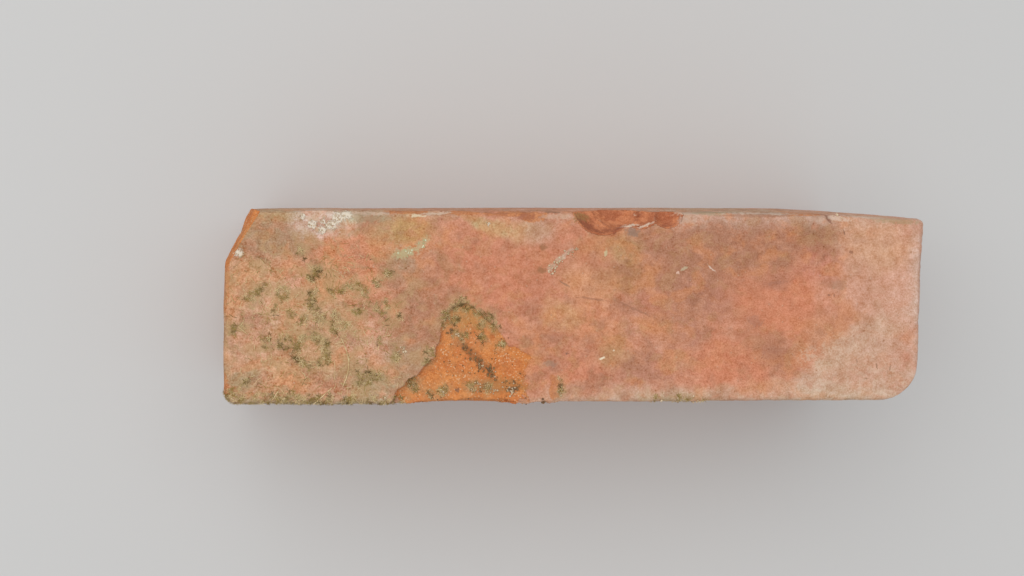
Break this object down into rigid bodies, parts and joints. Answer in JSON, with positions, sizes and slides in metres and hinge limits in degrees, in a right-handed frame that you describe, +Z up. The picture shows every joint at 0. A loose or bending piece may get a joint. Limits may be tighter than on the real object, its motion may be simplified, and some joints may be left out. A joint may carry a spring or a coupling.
{
  "type": "clay brick",
  "caption": "Old hand-moulded solid red clay brick with worn arrises, a broken corner, chips and a shallow spall, for masonry or paving.",
  "frame": {"origin": "middle of the stretcher face that the brick stands on, at floor level (bounding box bottom centre)", "axes": "+X along the length towards the worn round corner's end, +Y through the thickness towards the slumped bed face, +Z up, towards the stretcher face with the spall"},
  "size_m": [0.221, 0.0625, 0.105],
  "materials": {
    "fired_clay": "matt fired red clay, sandy and weathered"
  },
  "bodies": {
    "root": {"brick": "fired_clay"}
  },
  "joints": []
}
